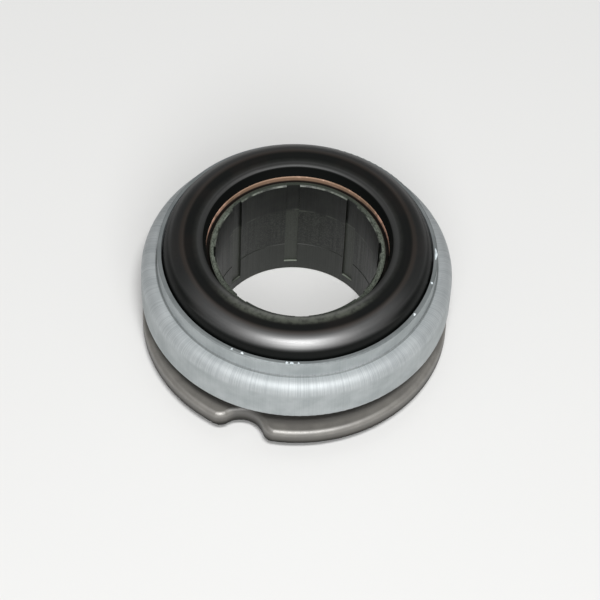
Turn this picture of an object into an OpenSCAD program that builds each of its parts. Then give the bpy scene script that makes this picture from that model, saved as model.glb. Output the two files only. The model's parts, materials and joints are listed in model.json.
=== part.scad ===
// Clutch release bearing on a moulded guide sleeve.
// The black contact ring turns on caged balls inside a pressed steel housing.
// A steel plate on the sleeve takes the release fork. Z is the axis of the bore.

/* [Guide sleeve] */
// Diameter of the guide bore
bore_d = 33; // [30:0.1:38]
// Wall of the sleeve around the bore
sleeve_wall = 1.15; // [1:0.05:2]
// Chamfer at both mouths of the bore
mouth_chamfer = 0.3; // [0.1:0.05:0.6]
// Height of the foot below the fork plate
foot_h = 4.2; // [2:0.1:8]
// Width of the foot's collar outside the sleeve
foot_w = 2.4; // [1:0.1:4]
// Height of the thrust hub between the fork plate and the bearing
hub_h = 7.2; // [5:0.1:12]
// Width of the thrust hub outside the sleeve
hub_w = 6.3; // [4:0.1:8]
// Bevel on the edges of the foot and the hub
hub_bevel = 0.5; // [0.2:0.1:1]
// Height of the sleeve's rim above the inner ring
rim_rise = 0.85; // [0.4:0.05:1.1]

/* [Bore surface] */
// Number of grease grooves along the bore
groove_count = 8; // [4:1:10]
// Width of a grease groove
groove_w = 2.7; // [1.5:0.1:4]
// Depth of a grease groove
groove_depth = 0.4; // [0.2:0.05:0.7]
// Height of the plain ring below the grooves
groove_stop = 2.4; // [1:0.1:6]
// Height of the guiding land at each end of the bore
land_h = 8.3; // [6.5:0.1:10]
// Depth of the relief between the guiding lands
relief_depth = 0.08; // [0.04:0.01:0.1]

/* [Fork plate] */
// Diameter of the fork plate
plate_d = 62.7; // [58:0.1:68]
// Thickness of the fork plate
plate_t = 3.4; // [2.5:0.1:5]
// Radius on the upper edge of the fork plate
plate_round = 1.1; // [0.4:0.1:1.4]
// Bevel on the lower edge of the fork plate
plate_bevel = 0.3; // [0.1:0.05:0.6]
// Depth of the seat in the fork plate for the foot's collar
seat_depth = 0.5; // [0.3:0.1:1.2]
// Depth of the two fork notches
notch_depth = 3.8; // [3:0.1:5.5]
// Radius at the root of a fork notch
notch_root_r = 4.7; // [3.5:0.1:6]
// Radius on the corners of a fork notch
notch_corner_r = 3; // [1.5:0.1:4]

/* [Ball race] */
// Diameter of a ball
ball_d = 6.35; // [5.5:0.05:7]
// Number of balls
ball_count = 16; // [12:1:17]
// Play between a ball and its raceways
ball_play = 0.12; // [0.08:0.01:0.16]
// Wall of the inner ring behind the raceway
inner_wall = 1.75; // [1.5:0.05:3]
// Wall of the contact ring behind the raceway
outer_wall = 1.05; // [0.8:0.05:2]
// Thickness of the inner ring's flange
flange_t = 1.6; // [1.2:0.1:3]
// Thickness of the ball cage
cage_t = 1.2; // [0.8:0.1:1.4]
// Rim of the cage beyond the ball pockets
cage_rim = 0.95; // [0.7:0.05:1.5]
// Lean of the cage's wall from the horizontal, in degrees
cage_lean = 63.5; // [58:0.5:68]
// Gap between the cage and its neighbours
cage_gap = 0.25; // [0.2:0.05:0.4]
// Play of a ball in its pocket
pocket_play = 0.15; // [0.1:0.01:0.2]
// Rise of the cage's foot above the contact ring's skirt
cage_rise = 0.4; // [0.2:0.1:1]

/* [Contact ring] */
// Gap between the retaining ring and the contact ring's lip
lip_gap = 0.3; // [0.25:0.05:0.8]
// Widening of the lip's bore towards the contact face
lip_flare = 0.5; // [0.2:0.05:0.8]
// Thickness of the contact ring's face
face_t = 2.5; // [1.8:0.1:4]
// Radius on the outer shoulder of the contact face
crown_round = 4.3; // [3:0.1:5]
// Radius on the inner edge of the contact face
lip_round = 0.75; // [0.4:0.05:1]
// Gap below the contact ring's skirt
skirt_gap = 0.8; // [0.5:0.1:1.5]

/* [Housing shell] */
// Thickness of the housing's sheet
shell_t = 0.8; // [0.6:0.05:1.2]
// Gap between the housing's rim and the contact ring
rim_gap = 0.32; // [0.25:0.01:0.6]
// Drop from the contact face to the housing's rim
rim_drop = 3.8; // [3:0.1:5]
// Height of the housing's neck
neck_h = 3.85; // [2.5:0.05:5]
// Width of the housing's shoulder
shoulder_w = 3.28; // [3.26:0.02:5]
// Radius on the housing's shoulder
shoulder_round = 2.45; // [1.5:0.05:2.45]
// Radius at the foot of the housing's neck
neck_round = 0.3; // [0.2:0.05:0.8]
// Width of the edge turned in under the flange
hem_w = 2.1; // [1:0.1:3]

/* [Seals and retaining ring] */
// Gap between the sleeve and the retaining ring
clip_gap = 0.75; // [0.5:0.05:0.9]
// Thickness of the retaining ring across its section
clip_t = 0.8; // [0.6:0.05:1]
// Height of the retaining ring above the inner ring
clip_h = 1.35; // [0.8:0.05:1.8]
// Depth of the retaining ring's seat in the inner ring
clip_seat = 1.4; // [0.8:0.1:1.6]
// Radius on the upper edges of the retaining ring
clip_round = 0.25; // [0.15:0.05:0.3]
// Thickness of the upper seal
seal_t = 0.7; // [0.5:0.05:1]
// Gap between a seal lip and the face it runs on
seal_gap = 0.15; // [0.1:0.01:0.25]
// Overlap of the upper seal with the inner ring's top
seal_cover = 0.55; // [0.3:0.05:0.6]
// Ledge of the contact ring that carries the upper seal
seal_ledge = 0.45; // [0.3:0.05:0.8]
// Wall of the outer seal along the housing
seal_wall = 1; // [0.6:0.1:1.3]
// Length of the outer seal's lip
seal_lip = 1.2; // [0.8:0.1:1.6]
// Thickness of the outer seal's lip at its end
seal_lip_t = 0.7; // [0.4:0.1:1]
// Slope of the outer seal's lip, from its end to its root
seal_slope = 0.4; // [0.2:0.1:0.6]

/* [Hidden] */
$fn = 96;
// Overlap of joined shapes, and reach of a cut beyond the solid
eps = 0.05;
margin = 1;
// Clearance of pieces that are pushed together and stay put
seat_gap = 0.05;
// Overlap of the arcs along a fork notch, and shift of their edge radius, so that surfaces cross cleanly
notch_blend = 0.03;
edge_shift = 0.01;
// Angle by which the root's edge radius runs on into the corners
root_over = 8;
// Chamfer on turned steel edges
edge_chamfer = 0.3;
// Small radius on the rims of pressed sheet
sheet_round = 0.25;

// Heights of the stack, from the foot upwards
plate_z = foot_h;
hub_z = plate_z + plate_t;
flange_z = hub_z + hub_h;
flange_top = flange_z + flange_t;

// Ball race, measured outwards from the bore
bore_r = bore_d / 2;
sleeve_r = bore_r + sleeve_wall;
foot_r = sleeve_r + foot_w;
inner_bore_r = sleeve_r + seat_gap;
ball_r = ball_d / 2;
race_r = ball_r + ball_play;
pitch_r = inner_bore_r + inner_wall + race_r;
skirt_r = pitch_r + race_r + outer_wall;

// Cage wall through the ball centres
pocket_r = ball_r + pocket_play;
cage_reach = pocket_r + cage_rim;
cage_dr = cage_reach * cos(cage_lean);
cage_dz = cage_reach * sin(cage_lean);
cage_side_r = cage_t / 2 * sin(cage_lean);
cage_side_z = cage_t / 2 * cos(cage_lean);
race_z = flange_top + skirt_gap + cage_rise + cage_dz + cage_side_z;

// Walls that leave the cage free
tube_r = pitch_r - cage_dr - cage_side_r - cage_gap;
shoulder_r = pitch_r + cage_dr - cage_side_r - cage_gap;
collar_r = pitch_r - cage_dr + cage_side_r + cage_gap;
skirt_bore_r = pitch_r + cage_dr + cage_side_r + cage_gap;
seal_z = race_z + cage_dz + cage_side_z + cage_gap;
seal_r = collar_r + seal_ledge;
tube_top = seal_z + seal_cover;
sleeve_top = tube_top + rim_rise;

// Contact ring above the retaining ring
clip_bore_r = sleeve_r + clip_gap;
clip_r = clip_bore_r + clip_t;
clip_z = tube_top - clip_seat;
clip_top = tube_top + clip_h;
lip_r = clip_bore_r + lip_flare;
lip_z = clip_top + lip_gap;
face_z = lip_z + face_t;
skirt_z = flange_top + skirt_gap;

// Housing shell around the contact ring
neck_r = skirt_r + rim_gap + shell_t;
shell_r = neck_r + shoulder_w;
shell_bore_r = shell_r - shell_t;
rim_z = face_z - rim_drop;
step_z = rim_z - neck_h;
hem_z = flange_z - shell_t;
hem_r = shell_bore_r - hem_w;
flange_r = shell_bore_r - seat_gap;

// Fork notch, a round root that runs smoothly into round corners
plate_r = plate_d / 2;
notch_y = plate_r - notch_depth + notch_root_r;
corner_y = plate_r - notch_corner_r + notch_blend;
corner_span = notch_root_r + notch_corner_r - notch_blend;
corner_a = acos((notch_y ^ 2 + corner_y ^ 2 - corner_span ^ 2) / (2 * notch_y * corner_y));
corner_at = corner_y * [sin(corner_a), cos(corner_a)];
meet_a = atan2(corner_at.y - notch_y, corner_at.x);
meet_at = [0, notch_y] + notch_root_r * [cos(meet_a), sin(meet_a)];

ball_names = [for (i = [1:ball_count]) str("ball_", i)];

// Waste outside a round convex corner at (x, y), whose solid lies towards (sx, sy)
module corner_waste(x, y, r, sx, sy) {
    translate([x, y]) difference() {
        translate([sx < 0 ? -r : -eps, sy < 0 ? -r : -eps]) square(r + eps);
        translate([sx * r, sy * r]) circle(r);
    }
}

// Filling of a round concave corner at (x, y), open towards +x and +y
module corner_fill(x, y, r) {
    difference() {
        translate([x - eps, y - eps]) square(r + eps);
        translate([x + r, y + r]) circle(r);
    }
}

// Section of the ball track
module race_circle() {
    translate([pitch_r, race_z]) circle(race_r);
}

// Section of the cage's leaning wall, thickened by a gap on both sides
module cage_section(gap) {
    translate([pitch_r, race_z]) rotate(-cage_lean)
        square([2 * cage_reach, cage_t + 2 * gap], center = true);
}

// Half section enclosed by the housing: a cylinder with a round shoulder and a neck
module housing_outline(inset, low_z, high_z) {
    outer_r = shell_r - inset;
    top_z = step_z - inset;
    difference() {
        union() {
            translate([0, low_z]) square([outer_r, top_z - low_z]);
            translate([0, low_z]) square([neck_r - inset, high_z - low_z]);
            corner_fill(neck_r - inset, top_z, neck_round + inset);
        }
        corner_waste(outer_r, top_z, shoulder_round - inset, -1, -1);
    }
}

// Outline of one fork notch, opening towards +Y
module notch_outline() {
    reach = plate_r + margin;
    translate([0, notch_y]) circle(notch_root_r);
    for (side = [0, 1]) mirror([side, 0]) difference() {
        polygon([
            [-eps, notch_y],
            meet_at,
            corner_at,
            reach * [sin(corner_a), cos(corner_a)],
            [-eps, reach]
        ]);
        translate(corner_at) circle(notch_corner_r);
    }
}

// Waste above the round upper edge of one fork notch, along its root and its two corners
module notch_edge_waste() {
    edge_z = plate_t + edge_shift;
    translate([0, notch_y]) rotate(180 - meet_a - root_over)
        rotate_extrude(angle = 180 + 2 * (meet_a + root_over))
            corner_waste(notch_root_r - edge_shift, edge_z, plate_round, 1, -1);
    for (side = [0, 1]) mirror([side, 0])
        translate(corner_at) rotate(90 - corner_a)
            rotate_extrude(angle = 90 + meet_a + corner_a)
                corner_waste(notch_corner_r + edge_shift, edge_z, plate_round, -1, -1);
}

// Moulded sleeve: foot, seat of the fork plate, thrust hub and guide tube
module guide_sleeve() {
    seat_z = plate_z + seat_depth;
    hub_r = sleeve_r + hub_w;
    relief_r = bore_r + relief_depth;
    relief_top = sleeve_top - land_h;
    color([0.07, 0.08, 0.07]) difference() {
        rotate_extrude() polygon([
            [bore_r + mouth_chamfer, 0],
            [foot_r - hub_bevel, 0],
            [foot_r, hub_bevel],
            [foot_r, seat_z],
            [sleeve_r, seat_z],
            [sleeve_r, hub_z],
            [hub_r, hub_z],
            [hub_r, flange_z - hub_bevel],
            [hub_r - hub_bevel, flange_z],
            [sleeve_r, flange_z],
            [sleeve_r, sleeve_top - sheet_round],
            [sleeve_r - sheet_round, sleeve_top],
            [bore_r + mouth_chamfer, sleeve_top],
            [bore_r, sleeve_top - mouth_chamfer],
            [bore_r, relief_top],
            [relief_r, relief_top - relief_depth],
            [relief_r, land_h + relief_depth],
            [bore_r, land_h],
            [bore_r, mouth_chamfer]
        ]);
        grease_grooves();
    }
}

// Grooves along the bore, open at the rim and closed above the foot
module grease_grooves() {
    groove_a = 2 * asin(groove_w / 2 / bore_r);
    pitch_a = 360 / groove_count;
    for (i = [0:groove_count - 1])
        rotate(-90 + (i + 0.5) * pitch_a - groove_a / 2)
            rotate_extrude(angle = groove_a)
                translate([bore_r - margin, groove_stop])
                    square([groove_depth + margin, sleeve_top]);
}

// Steel plate with two opposite notches for the fork's fingers
module fork_plate() {
    hole_r = sleeve_r + seat_gap;
    seat_r = foot_r + seat_gap;
    color([0.49, 0.50, 0.48]) difference() {
        rotate_extrude() translate([0, plate_z]) difference() {
            polygon([
                [seat_r, 0],
                [plate_r - plate_bevel, 0],
                [plate_r, plate_bevel],
                [plate_r, plate_t],
                [hole_r, plate_t],
                [hole_r, seat_depth],
                [seat_r, seat_depth]
            ]);
            corner_waste(plate_r, plate_t, plate_round, -1, -1);
        }
        for (turn = [0, 180]) rotate(turn) translate([0, 0, plate_z]) {
            translate([0, 0, -margin]) linear_extrude(plate_t + 2 * margin) notch_outline();
            notch_edge_waste();
        }
    }
}

// Copper-coated ring pressed into the end of the inner ring, clear of the sleeve
module retaining_ring() {
    color([0.62, 0.46, 0.37]) rotate_extrude() difference() {
        translate([clip_bore_r, clip_z]) square([clip_t, clip_top - clip_z]);
        corner_waste(clip_r, clip_top, clip_round, -1, -1);
        corner_waste(clip_bore_r, clip_top, clip_round, 1, -1);
    }
}

// Fixed inner ring: flange on the hub, shoulder under the balls and a tube on the sleeve
module inner_ring() {
    seat_r = clip_r + seat_gap;
    color([0.25, 0.24, 0.23]) rotate_extrude() difference() {
        polygon([
            [inner_bore_r + edge_chamfer, flange_z],
            [flange_r - edge_chamfer, flange_z],
            [flange_r, flange_z + edge_chamfer],
            [flange_r, flange_top],
            [shoulder_r, flange_top],
            [shoulder_r, race_z],
            [tube_r, race_z],
            [tube_r, tube_top - edge_chamfer],
            [tube_r - edge_chamfer, tube_top],
            [seat_r, tube_top],
            [seat_r, clip_z],
            [inner_bore_r, clip_z],
            [inner_bore_r, flange_z + edge_chamfer]
        ]);
        race_circle();
        cage_section(cage_gap);
    }
}

// Pressed cover with a round shoulder, a neck and an edge turned in under the flange
module housing_shell() {
    color([0.75, 0.77, 0.76]) rotate_extrude() difference() {
        housing_outline(0, hem_z, rim_z);
        housing_outline(shell_t, flange_z, rim_z + margin);
        translate([0, hem_z - margin]) square([hem_r, shell_t + 2 * margin]);
        corner_waste(shell_r, hem_z, sheet_round, -1, 1);
        corner_waste(neck_r, rim_z, sheet_round, -1, -1);
        corner_waste(hem_r, hem_z, sheet_round, 1, 1);
    }
}

// Rubber ring in the housing with a lip towards the contact ring's skirt
module outer_seal() {
    wall_r = shell_bore_r - seat_gap;
    wall_top = step_z - shoulder_round;
    lip_end_r = skirt_r + seal_gap;
    root_r = lip_end_r + seal_lip;
    lip_low = skirt_z + seal_lip_t;
    color([0.1, 0.1, 0.1]) rotate_extrude() polygon([
        [root_r, flange_top],
        [wall_r, flange_top],
        [wall_r, wall_top],
        [wall_r - seal_wall, wall_top],
        [wall_r - seal_wall, lip_low + seal_lip_t + seal_slope],
        [lip_end_r, lip_low + seal_lip_t],
        [lip_end_r, lip_low],
        [root_r, lip_low - seal_slope]
    ]);
}

// Turning ring: contact face, collar above the balls and a skirt with the outer raceway
module contact_ring() {
    color([0.13, 0.14, 0.14]) rotate_extrude() difference() {
        polygon([
            [clip_bore_r, lip_z],
            [seal_r, lip_z],
            [seal_r, seal_z],
            [collar_r, seal_z],
            [collar_r, race_z],
            [skirt_bore_r, race_z],
            [skirt_bore_r, skirt_z],
            [skirt_r - edge_chamfer, skirt_z],
            [skirt_r, skirt_z + edge_chamfer],
            [skirt_r, face_z],
            [lip_r, face_z],
            [lip_r, face_z - lip_round]
        ]);
        race_circle();
        cage_section(cage_gap);
        corner_waste(skirt_r, face_z, crown_round, -1, -1);
        corner_waste(lip_r, face_z, lip_round, 1, -1);
    }
}

// Rubber ring on the contact ring's ledge, with a lip towards the inner ring
module upper_seal() {
    lip_end_r = tube_r + seal_gap;
    color([0.1, 0.1, 0.1]) rotate_extrude() polygon([
        [lip_end_r, seal_z],
        [seal_r - seat_gap, seal_z],
        [seal_r - seat_gap, seal_z + seal_t],
        [lip_end_r + seal_t / 2, seal_z + seal_t],
        [lip_end_r, seal_z + seal_t / 2]
    ]);
}

// Leaning cage wall with a round pocket for each ball
module ball_cage() {
    color([0.75, 0.68, 0.5]) difference() {
        rotate_extrude() cage_section(0);
        for (i = [1:ball_count]) at_ball(i) sphere(pocket_r);
    }
}

// Place of one ball on the pitch circle
module at_ball(i) {
    rotate((i - 0.5) * 360 / ball_count) translate([pitch_r, 0, race_z]) children();
}

// One ball of the race
module ball(i) {
    color([0.8, 0.8, 0.82]) at_ball(i) sphere(ball_r);
}

guide_sleeve();
fork_plate();
retaining_ring();
inner_ring();
housing_shell();
outer_seal();
contact_ring();
upper_seal();
ball_cage();
for (i = [1:ball_count]) {
    ball(i);
}
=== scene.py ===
import json
import math

import bpy
from mathutils import Matrix, Vector


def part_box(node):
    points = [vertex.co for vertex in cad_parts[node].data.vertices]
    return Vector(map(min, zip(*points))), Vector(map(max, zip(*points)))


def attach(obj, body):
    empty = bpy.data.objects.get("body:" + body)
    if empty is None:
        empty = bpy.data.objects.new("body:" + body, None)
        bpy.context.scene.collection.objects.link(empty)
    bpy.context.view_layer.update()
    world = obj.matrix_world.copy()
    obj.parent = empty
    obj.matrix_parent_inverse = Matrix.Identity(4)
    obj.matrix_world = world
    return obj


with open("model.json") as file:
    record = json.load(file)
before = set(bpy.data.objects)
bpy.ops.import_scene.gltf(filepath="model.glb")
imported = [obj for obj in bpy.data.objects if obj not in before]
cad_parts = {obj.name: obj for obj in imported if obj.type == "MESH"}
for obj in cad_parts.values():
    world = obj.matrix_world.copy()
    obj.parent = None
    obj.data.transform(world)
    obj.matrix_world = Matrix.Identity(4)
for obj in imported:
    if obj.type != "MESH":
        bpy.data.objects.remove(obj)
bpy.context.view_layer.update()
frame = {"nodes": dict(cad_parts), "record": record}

MM = 0.001
NODES = frame["nodes"]


# Heights and radii on the part, in millimetres, from the frame

def bottom(node):
    """Height of a node's lower end."""
    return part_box(node)[0].z / MM


def top(node):
    """Height of a node's upper end."""
    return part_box(node)[1].z / MM


def reach(node):
    """Outer radius of a round node."""
    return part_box(node)[1].x / MM


def bore_radius(mount):
    """Radius of a bore among the record's mounts."""
    return next(m["dims"]["r_mm"] for m in frame["record"]["mounts"] if m["name"] == mount)


# Contact ring: height of its face, outer radius, and inner edge of the face
FACE_Z = top("contact_ring")
RING_R = reach("contact_ring")
RING_WIDTH = 8.19
LIP_R = RING_R - RING_WIDTH

# Housing: its rim, its neck, and the step at the foot of the neck
RIM_Z = top("housing_shell")
NECK_HEIGHT = 3.85
STEP_Z = RIM_Z - NECK_HEIGHT
NECK_OFFSET = 1.12
NECK_R = RING_R + NECK_OFFSET

# Fork plate and copper-coated ring
PLATE_LOW = bottom("fork_plate")
PLATE_TOP = top("fork_plate")
PLATE_R = reach("fork_plate")
CLIP_TOP = top("retaining_ring")

# Sleeve: its rim, its bore, the guiding lands at both ends and the lower end of the grooves
SLEEVE_TOP = top("guide_sleeve")
BORE_R = bore_radius("guide_bore")
LAND_HEIGHT = 8.3
GROOVE_LOW = 2.4

# The photo's view in degrees, metres and pixels. Azimuth 0 is on the -Y side, and turns towards +X.
VIEW_AZIMUTH = 17.4
VIEW_ELEVATION = 53.466
VIEW_ROLL = 2.734
VIEW_DISTANCE = 583.661 * MM
ORIGIN_PIXEL = (293.82, 330.62)
FOCAL_PIXELS = 2800
IMAGE_SIDE = 600


def direction(azimuth, elevation):
    """Unit vector from the part towards an azimuth and an elevation in degrees."""
    a, e = math.radians(azimuth), math.radians(elevation)
    return Vector((math.sin(a) * math.cos(e), -math.cos(a) * math.cos(e), math.sin(e)))


# The side of the part that shows in front, towards the camera and the lamps: worn most, and where painted
# sheen, highlights and shade are keyed
FRONT = direction(VIEW_AZIMUTH, 0)


# Node helpers

def srgb(red, green, blue):
    """A colour as read from a picture, 0 to 255, as linear RGBA."""
    def linear(c):
        c = c / 255
        return c / 12.92 if c <= 0.04045 else ((c + 0.055) / 1.055) ** 2.4
    return (linear(red), linear(green), linear(blue), 1.0)


class Finish:
    """A procedural material with one principled shader, and short calls that add nodes to it."""

    def __init__(self, name, **sockets):
        self.mat = bpy.data.materials.new(name)
        self.mat.use_nodes = True
        self.tree = self.mat.node_tree
        self.tree.nodes.clear()
        self.shader = self.tree.nodes.new("ShaderNodeBsdfPrincipled")
        out = self.tree.nodes.new("ShaderNodeOutputMaterial")
        self.tree.links.new(self.shader.outputs[0], out.inputs[0])
        for socket, value in sockets.items():
            self.shader.inputs[socket.replace("_", " ")].default_value = value
        coords = self.node("ShaderNodeTexCoord").outputs["Object"]
        self.point = self.vec("MULTIPLY", coords, (1 / MM, 1 / MM, 1 / MM))
        split = self.node("ShaderNodeSeparateXYZ", Vector=self.point)
        self.z = split.outputs["Z"]
        flat = self.vec("MULTIPLY", self.point, (1, 1, 0))
        self.r = self.node_op("ShaderNodeVectorMath", "LENGTH", flat).outputs["Value"]
        self.around = self.vec("NORMALIZE", flat)

    # Nodes of any kind

    def node(self, kind, **inputs):
        n = self.tree.nodes.new(kind)
        for socket, value in inputs.items():
            self.put(n.inputs[socket], value)
        return n

    def node_op(self, kind, operation, *values):
        n = self.tree.nodes.new(kind)
        n.operation = operation
        for socket, value in zip(n.inputs, values):
            self.put(socket, value)
        return n

    def put(self, socket, value):
        if isinstance(value, bpy.types.NodeSocket):
            self.tree.links.new(value, socket)
        else:
            socket.default_value = value

    # Numbers and vectors

    def math(self, operation, *values):
        return self.node_op("ShaderNodeMath", operation, *values).outputs[0]

    def add(self, a, b):
        return self.math("ADD", a, b)

    def mul(self, a, b):
        return self.math("MULTIPLY", a, b)

    def most(self, a, b):
        return self.math("MAXIMUM", a, b)

    def vec(self, operation, *values):
        return self.node_op("ShaderNodeVectorMath", operation, *values).outputs["Vector"]

    def xyz(self, x, y, z):
        return self.node("ShaderNodeCombineXYZ", X=x, Y=y, Z=z).outputs[0]

    def facing(self):
        """1 on the part's front, 0 on its sides and -1 on its back."""
        return self.node_op("ShaderNodeVectorMath", "DOT_PRODUCT", self.around, FRONT).outputs["Value"]

    # Masks

    def span(self, value, low, high, to_low=0.0, to_high=1.0):
        """value from low..high to to_low..to_high in a smooth step, held at the ends."""
        n = self.tree.nodes.new("ShaderNodeMapRange")
        n.interpolation_type = "SMOOTHSTEP"
        for socket, v in zip(n.inputs, (value, low, high, to_low, to_high)):
            self.put(socket, v)
        return n.outputs[0]

    def spread(self, noise, to_low=0.0, to_high=1.0):
        """The range that noise mostly keeps to, stretched to to_low..to_high."""
        return self.span(noise, 0.3, 0.7, to_low, to_high)

    def below(self, value, low, high, full=1.0):
        """full below low, falling to 0 at high."""
        return self.span(value, low, high, full, 0.0)

    def band(self, value, middle, half, soft):
        """1 within half of middle, falling to 0 over soft."""
        away = self.math("ABSOLUTE", self.math("SUBTRACT", value, middle))
        return self.below(away, half, half + soft)

    # Patterns

    def noise(self, scale, detail=4.0, roughness=0.55, vector=None):
        """Noise at a scale per millimetre, over the part's points unless another vector is given."""
        place = self.point if vector is None else vector
        n = self.node("ShaderNodeTexNoise", Vector=place, Scale=scale, Detail=detail, Roughness=roughness)
        return n.outputs[0]

    def streaks(self, scale):
        """Noise drawn out along the section: lines that run up and down a turned form."""
        drift = 0.05 / scale
        lift = self.xyz(0.0, 0.0, self.mul(self.add(self.r, self.z), drift))
        return self.noise(scale, detail=3.0, vector=self.vec("ADD", self.around, lift))

    def rings(self, scale, drift=1.5):
        """Noise drawn out round the axis: turning marks."""
        section = self.vec("MULTIPLY", self.xyz(self.r, self.z, 0.0), (scale, scale, 0.0))
        swing = self.vec("MULTIPLY", self.around, (drift, drift, 0.0))
        turn = self.node("ShaderNodeSeparateXYZ", Vector=swing)
        low = self.xyz(0.0, 0.0, self.add(turn.outputs["X"], turn.outputs["Y"]))
        return self.noise(1.0, detail=3.0, vector=self.vec("ADD", section, low))

    # Colours and the shader's sockets

    def mix(self, factor, a, b):
        n = self.tree.nodes.new("ShaderNodeMix")
        n.data_type = "RGBA"
        self.put(n.inputs["Factor"], factor)
        self.put(n.inputs[6], a)
        self.put(n.inputs[7], b)
        return n.outputs[2]

    def color(self, value):
        self.put(self.shader.inputs["Base Color"], value)

    def rough(self, value):
        self.put(self.shader.inputs["Roughness"], value)

    def gloss(self, value):
        self.put(self.shader.inputs["Specular IOR Level"], value)

    def bump(self, height, depth_mm):
        n = self.node("ShaderNodeBump", Height=height)
        n.inputs["Strength"].default_value = 1.0
        n.inputs["Distance"].default_value = depth_mm * MM
        self.put(self.shader.inputs["Normal"], n.outputs[0])


# Finishes

def black_oxide():
    """Blacked steel with a brown line, a worn front with painted sheen, flecks, and painted shade that
    darkens and dulls flanks and the lip's bore; the flat is dulled too.
    """
    f = Finish("black_steel", IOR=2.3)
    marks = f.rings(2.2, drift=1.2)
    grain = f.noise(6.0)
    facing = f.facing()
    front = f.span(facing, 0.5, 0.95)
    elsewhere = f.math("SUBTRACT", 1.0, front)

    patches = f.span(f.noise(0.14), 0.42, 0.66)
    tone = f.mix(patches, srgb(5, 7, 6), srgb(13, 11, 9))
    brown_line = f.mul(f.band(f.r, LIP_R + 4.4, 0.1, 0.7), 0.3)
    tone = f.mix(brown_line, tone, srgb(52, 38, 26))
    # Lighter band on the lip's inner rounding, strongest in front: partly wear, partly painted sheen.
    wear_and_sheen = f.mul(f.band(f.r, LIP_R + 1.1, 0.5, 1.1), f.span(front, 0.0, 1.0, 0.08, 1.0))
    wear_and_sheen = f.mul(wear_and_sheen, f.span(f.noise(0.9, detail=5, roughness=0.65), 0.30, 0.62, 0.25, 1.0))
    tone = f.mix(wear_and_sheen, tone, srgb(72, 75, 67))
    flecks = f.span(f.noise(2.4, detail=5, roughness=0.7), 0.70, 0.76, 0.0, 0.5)
    tone = f.mix(flecks, tone, srgb(104, 98, 88))

    # Painted shade: the lower flanks (reaching higher away from the front), the inner rounding away from
    # the front, and the lip's bore are darkened and dulled.
    flank = f.mul(f.below(f.z, FACE_Z - 1.84, FACE_Z - 0.34), elsewhere)
    flank = f.most(flank, f.below(f.z, FACE_Z - 2.44, FACE_Z - 1.14))
    edge = f.mul(f.below(f.r, LIP_R + 1.0, LIP_R + 1.8, full=0.5), elsewhere)
    edge = f.most(edge, f.below(f.r, LIP_R + 0.05, LIP_R + 0.4))
    dull_shade = f.most(flank, edge)
    f.color(f.mix(dull_shade, tone, srgb(7, 9, 8)))

    flat = f.mul(f.band(f.r, LIP_R + 2.7, 0.9, 1.5), 0.74)
    sides = f.below(f.math("ABSOLUTE", facing), 0.35, 0.85, full=0.5)
    dull = f.most(f.most(dull_shade, flat), sides)
    f.gloss(f.span(dull, 0.0, 1.0, 0.5, 0.04))
    rough = f.add(f.spread(marks, 0.42, 0.47), f.spread(grain, -0.02, 0.03))
    f.rough(f.add(rough, f.below(f.r, LIP_R + 1.4, LIP_R + 2.4, full=0.22)))
    f.bump(f.add(f.mul(marks, 0.4), f.mul(grain, 0.6)), depth_mm=0.004)
    return f.mat


def zinc():
    """Zinc plating, drawn out in fine streaks over the shoulder, with a painted highlight that lightens
    the shoulder and painted shade that greys the neck's foot and the rim.
    """
    f = Finish("zinc_steel", Metallic=0.6)
    draw = f.streaks(260.0)
    cloud = f.noise(0.22)
    shoulder = f.band(f.z, STEP_Z - 0.89, 0.9, 1.2)

    tone = f.mix(f.spread(cloud), srgb(160, 166, 167), srgb(180, 185, 186))
    # Painted highlight: the shoulder lightened.
    tone = f.mix(f.mul(shoulder, 0.5), tone, srgb(200, 204, 205))
    streak = f.mul(f.span(draw, 0.40, 0.68), f.span(shoulder, 0.0, 1.0, 0.08, 0.36))
    tone = f.mix(streak, tone, srgb(122, 129, 135))
    # Painted shade in the crease at the neck's foot.
    foot = f.mul(f.below(f.z, STEP_Z + 0.06, STEP_Z + 0.36), f.below(f.r, NECK_R + 0.29, NECK_R + 0.49))
    tone = f.mix(f.mul(foot, 0.65), tone, srgb(72, 78, 76))
    # Painted shade: darker at the rim's top edge, damping its highlight.
    rim = f.span(f.z, RIM_Z - 0.39, RIM_Z - 0.14, 0.0, 0.55)
    f.color(f.mix(rim, tone, srgb(96, 102, 102)))

    f.rough(f.add(f.spread(draw, 0.58, 0.66), f.spread(cloud, 0.0, 0.05)))
    f.bump(f.add(draw, f.mul(f.rings(1.4), 0.5)), depth_mm=0.005)
    return f.mat


def tumbled_steel():
    """Grey tumbled steel, with painted shade on its side, a painted shadow along its lower cut edge, and
    painted shade near the hub.
    """
    f = Finish("plate_steel", Metallic=0.35, IOR=2.4)
    cloud = f.noise(0.3)
    grain = f.noise(4.5)

    tone = f.mix(f.spread(cloud), srgb(112, 109, 104), srgb(126, 123, 117))
    tone = f.mix(f.span(grain, 0.55, 0.75, 0.0, 0.4), tone, srgb(88, 85, 80))
    # Painted shade: darker on the side.
    side = f.mul(f.below(f.z, PLATE_TOP - 1.4, PLATE_TOP - 0.6), 0.85)
    tone = f.mix(side, tone, srgb(80, 77, 72))
    # Painted shadow: darkest along the lower edge, as under the plate.
    lower_edge_shade = f.below(f.z, PLATE_LOW + 0.2, PLATE_LOW + 1.7)
    tone = f.mix(lower_edge_shade, tone, srgb(30, 29, 26))
    # Painted shade near the hub, under the housing, broken by cloud.
    hub_shade = f.mul(f.below(f.r, PLATE_R - 3.15, PLATE_R - 1.75, full=0.65), f.spread(cloud, 0.7, 1.0))
    f.color(f.mix(hub_shade, tone, srgb(44, 43, 40)))

    f.gloss(f.span(f.z, PLATE_LOW + 0.6, PLATE_LOW + 2.6, 0.05, 0.5))
    f.rough(f.spread(grain, 0.46, 0.56))
    f.bump(grain, depth_mm=0.010)
    return f.mat


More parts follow.
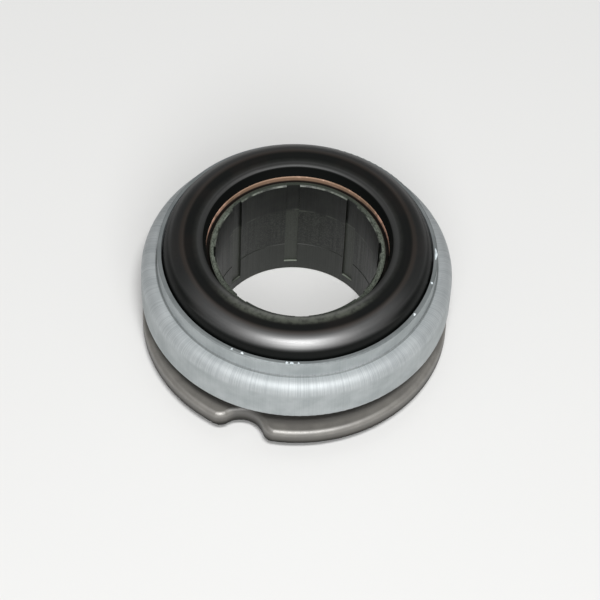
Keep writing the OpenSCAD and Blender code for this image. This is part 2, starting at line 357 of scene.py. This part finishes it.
def copper_coat():
    """Copper coating, with painted highlights in patches at the sides and painted shade in the gap below.
    """
    f = Finish("copper_coat", Metallic=0.2)
    marks = f.rings(3.0)

    tone = f.mix(f.span(f.noise(0.45), 0.50, 0.66), srgb(150, 122, 101), srgb(190, 157, 136))
    # Painted highlights: brighter patches at the sides.
    sides = f.below(f.math("ABSOLUTE", f.facing()), 0.45, 0.65)
    side_glints = f.mul(sides, f.span(f.noise(0.8, detail=3), 0.40, 0.56, 0.2, 1.0))
    tone = f.mix(side_glints, tone, srgb(232, 184, 160))
    tarnish = f.span(f.noise(2.2), 0.58, 0.72, 0.0, 0.5)
    tone = f.mix(tarnish, tone, srgb(140, 114, 98))
    # Painted shade: dark below the upper part of the wall, down in the gap.
    clear = f.span(f.z, CLIP_TOP - 1.24, CLIP_TOP - 0.79)
    f.color(f.mix(clear, srgb(40, 33, 29), tone))

    f.rough(f.spread(marks, 0.55, 0.66))
    f.bump(marks, depth_mm=0.006)
    return f.mat


def moulded_plastic():
    """Black plastic, scuffed between the guiding lands, paler along the relief's upper edge, lightened
    low in the bore by painted bounce light, with a worn rim carrying painted highlight and sheen, and
    painted highlights at the lower ends of the grooves.
    """
    f = Finish("sleeve_plastic", IOR=1.45)
    cloud = f.noise(0.35)
    grain = f.noise(3.0)
    lines = f.streaks(80.0)
    facing = f.facing()
    relief_top = SLEEVE_TOP - LAND_HEIGHT
    relief_middle = SLEEVE_TOP / 2 + 0.08

    tone = f.mix(f.spread(cloud), srgb(10, 12, 10), srgb(19, 22, 18))
    scuffs = f.mul(f.band(f.z, relief_middle, 5.0, 0.5), f.span(grain, 0.42, 0.66, 0.0, 0.5))
    tone = f.mix(scuffs, tone, srgb(58, 62, 55))
    # Painted bounce light: lighter low in the bore.
    lower_bounce_light = f.below(f.z, LAND_HEIGHT + 0.2, LAND_HEIGHT + 0.6, full=0.6)
    tone = f.mix(lower_bounce_light, tone, srgb(38, 41, 36))
    edge = f.mul(f.band(f.z, relief_top + 0.16, 0.05, 0.35), f.span(cloud, 0.45, 0.65, 0.1, 0.7))
    tone = f.mix(edge, tone, srgb(70, 74, 67))
    floors = f.mul(f.span(f.r, BORE_R + 0.22, BORE_R + 0.3),
                   f.below(f.z, relief_top - 0.64, relief_top + 0.36, full=0.35))
    tone = f.mix(floors, tone, srgb(66, 70, 62))

    # Rim top: the inner edge is part wear, part painted highlight; the outer part is lighter at the sides
    # as painted sheen, broken by grain.
    mouth_wear_and_highlight = f.mix(f.span(f.noise(0.6), 0.38, 0.62), srgb(40, 43, 38), srgb(112, 117, 108))
    flank = f.below(f.math("ABSOLUTE", facing), 0.3, 0.9)
    land_sheen = f.mix(f.mul(flank, f.span(grain, 0.25, 0.7)), srgb(56, 61, 54), srgb(102, 108, 98))
    rim = f.mix(f.span(f.r, BORE_R + 0.16, BORE_R + 0.3), mouth_wear_and_highlight, land_sheen)
    wear_and_sheen = f.mul(f.span(f.z, SLEEVE_TOP - 0.39, SLEEVE_TOP - 0.24), f.span(grain, 0.25, 0.6, 0.7, 1.0))
    tone = f.mix(wear_and_sheen, tone, rim)
    # Painted highlight on the upward faces at the lower ends of the grooves, strongest at the back.
    ledge_highlight = f.mul(f.span(f.r, BORE_R + 0.02, BORE_R + 0.08),
                  f.below(f.z, GROOVE_LOW + 0.02, GROOVE_LOW + 0.1))
    at_back = f.span(facing, -0.9, -0.6, 1.0, 0.25)
    f.color(f.mix(f.mul(ledge_highlight, at_back), tone, srgb(124, 130, 120)))

    f.rough(f.spread(lines, 0.38, 0.52))
    f.bump(f.add(grain, lines), depth_mm=0.006)
    return f.mat


def grease():
    """Pale grease, wet and a little lumpy."""
    f = Finish("grease", IOR=1.47)
    cloud = f.noise(2.0)
    f.color(f.mix(f.spread(cloud), srgb(196, 208, 214), srgb(228, 234, 236)))
    f.rough(f.spread(cloud, 0.18, 0.30))
    f.bump(cloud, depth_mm=0.02)
    return f.mat


def bearing_steel(name, tone_a, tone_b, low, high):
    """Turned or ground steel between two tones, with roughness from low to high."""
    f = Finish(name, Metallic=1.0)
    marks = f.rings(3.0)
    f.color(f.mix(f.spread(f.noise(0.4)), tone_a, tone_b))
    f.rough(f.spread(marks, low, high))
    f.bump(marks, depth_mm=0.006)
    return f.mat


def moulding(name, tone_a, tone_b, low, high):
    """Rubber or plastic between two tones, with roughness from low to high."""
    f = Finish(name, IOR=1.5)
    grain = f.noise(2.0)
    f.color(f.mix(f.spread(grain), tone_a, tone_b))
    f.rough(f.spread(grain, low, high))
    f.bump(grain, depth_mm=0.010)
    return f.mat


def dress(material, *names):
    for name in names:
        mesh = NODES[name].data
        mesh.materials.clear()
        mesh.materials.append(material)


BALLS = [n for n in NODES if n.startswith("ball_") and n != "ball_cage"]

dress(black_oxide(), "contact_ring")
dress(zinc(), "housing_shell")
dress(tumbled_steel(), "fork_plate")
dress(copper_coat(), "retaining_ring")
dress(moulded_plastic(), "guide_sleeve")
dress(bearing_steel("race_steel", srgb(52, 49, 46), srgb(74, 70, 66), 0.35, 0.5), "inner_ring")
dress(bearing_steel("ball_steel", srgb(196, 198, 200), srgb(212, 214, 216), 0.08, 0.14), *BALLS)
dress(moulding("seal_rubber", srgb(24, 24, 24), srgb(36, 36, 35), 0.5, 0.65), "outer_seal", "upper_seal")
dress(moulding("cage_plastic", srgb(188, 172, 132), srgb(206, 190, 150), 0.38, 0.5), "ball_cage")


# Grease pressed out on the housing's rim

# Middle and length of each bead along the rim, in degrees from -Y towards +X
BEADS = [
    (-3.4, 1.4), (-8.0, 0.7), (15.2, 1.2), (17.2, 1.6),
    (20.0, 0.8), (75.8, 1.4), (93.8, 1.1), (109.2, 6.2),
]
BEAD_R = NECK_R - 0.39
BEAD_WIDTH = 0.5
BEAD_HEIGHT = 0.2
BEAD_SINK = 0.007
BEAD_RIPPLE = 0.18
BEAD_WANDER = 0.12
BEAD_STATIONS = 25
BEAD_SIDES = 10


def bead_points(middle, length):
    """Rows of half-round sections along one bead, swelling and wandering a little on the way."""
    points = []
    for i in range(BEAD_STATIONS):
        t = -1 + 2 * (i + 0.5) / BEAD_STATIONS
        swell = math.sqrt(1 - t * t) * (1 + BEAD_RIPPLE * math.sin(5 * t + middle))
        drift = BEAD_WANDER * BEAD_WIDTH * math.sin(3 * t + 0.3 * middle)
        a = math.radians(middle + length / 2 * t)
        for k in range(BEAD_SIDES + 1):
            b = math.pi * k / BEAD_SIDES
            r = BEAD_R + drift + BEAD_WIDTH / 2 * swell * math.cos(b)
            z = RIM_Z - BEAD_SINK + BEAD_HEIGHT * swell * math.sin(b)
            points.append((r * math.sin(a) * MM, -r * math.cos(a) * MM, z * MM))
    return points


def bead_faces(first):
    """Faces of one bead whose points start at first: its back, its underside and both ends."""
    row = BEAD_SIDES + 1
    faces = []
    for i in range(BEAD_STATIONS - 1):
        start = first + i * row
        for q in range(start, start + BEAD_SIDES):
            faces.append((q, q + 1, q + row + 1, q + row))
        faces.append((start, start + row, start + row + BEAD_SIDES, start + BEAD_SIDES))
    last = first + (BEAD_STATIONS - 1) * row
    faces.append(tuple(reversed(range(first, first + row))))
    faces.append(tuple(range(last, last + row)))
    return faces


def rim_grease():
    verts, faces = [], []
    for middle, length in BEADS:
        faces += bead_faces(len(verts))
        verts += bead_points(middle, length)
    mesh = bpy.data.meshes.new("rim_grease")
    mesh.from_pydata(verts, [], faces)
    mesh.update()
    for face in mesh.polygons:
        face.use_smooth = True
    mesh.materials.append(grease())
    obj = bpy.data.objects.new("rim_grease", mesh)
    bpy.context.scene.collection.objects.link(obj)
    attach(obj, "carrier")


rim_grease()


# Floor, light and camera

FLOOR_SIDE = 8.0
FLOOR_DROP = 0.02 * MM
FLOOR_COLOR = (0.76, 0.76, 0.75, 1)
FLOOR_ROUGHNESS = 0.85
SKY_STRENGTH = 0.14
LAMP_DISTANCE = 1.6
LAMP_TARGET = Vector((0, 0, 15 * MM))
SENSOR_WIDTH = 36


def floor():
    bpy.ops.mesh.primitive_plane_add(size=FLOOR_SIDE, location=(0, 0, -FLOOR_DROP))
    plane = bpy.context.object
    plane.name = "floor"
    mat = bpy.data.materials.new("floor_paint")
    mat.use_nodes = True
    shader = mat.node_tree.nodes["Principled BSDF"]
    shader.inputs["Base Color"].default_value = FLOOR_COLOR
    shader.inputs["Roughness"].default_value = FLOOR_ROUGHNESS
    plane.data.materials.append(mat)


def lamp(name, azimuth, elevation, size, watts):
    """An oval softbox of size (width, height) in metres that looks at the part."""
    way = direction(azimuth, elevation)
    light = bpy.data.lights.new(name, "AREA")
    light.shape = "ELLIPSE"
    light.size, light.size_y = size
    light.energy = watts
    obj = bpy.data.objects.new(name, light)
    obj.location = way * LAMP_DISTANCE + LAMP_TARGET
    obj.rotation_euler = way.to_track_quat("Z", "Y").to_euler()
    bpy.context.scene.collection.objects.link(obj)


def sky():
    world = bpy.data.worlds.new("studio")
    bpy.context.scene.world = world
    world.use_nodes = True
    background = world.node_tree.nodes["Background"]
    background.inputs["Color"].default_value = (1, 1, 1, 1)
    background.inputs["Strength"].default_value = SKY_STRENGTH


def camera():
    """The photo's view: the frame's origin shows at ORIGIN_PIXEL of the square image."""
    place = VIEW_DISTANCE * direction(VIEW_AZIMUTH, VIEW_ELEVATION)
    ahead = -place.normalized()
    right = direction(VIEW_AZIMUTH + 90, 0)
    up = right.cross(ahead)
    look = Matrix((right, -up, ahead))
    roll = Matrix.Rotation(math.radians(VIEW_ROLL), 3, "Z")
    across, down = ((pixel - IMAGE_SIDE / 2) / FOCAL_PIXELS for pixel in ORIGIN_PIXEL)
    aim = Vector((0, 0, 1)).rotation_difference(Vector((across, down, 1))).to_matrix()
    flip = Matrix.Diagonal((1, -1, -1))
    data = bpy.data.cameras.new("camera")
    data.sensor_width = SENSOR_WIDTH
    data.lens = FOCAL_PIXELS / IMAGE_SIDE * SENSOR_WIDTH
    data.clip_start, data.clip_end = 0.01, 50
    obj = bpy.data.objects.new("camera", data)
    obj.matrix_world = Matrix.Translation(place) @ (flip @ aim @ roll @ look).transposed().to_4x4()
    bpy.context.scene.collection.objects.link(obj)
    bpy.context.scene.camera = obj


floor()
lamp("key", azimuth=22, elevation=61, size=(0.36, 0.14), watts=20.5)
lamp("glow", azimuth=23, elevation=42, size=(0.88, 0.88), watts=12.5)
sky()
camera()
bpy.context.scene.view_settings.view_transform = "Standard"
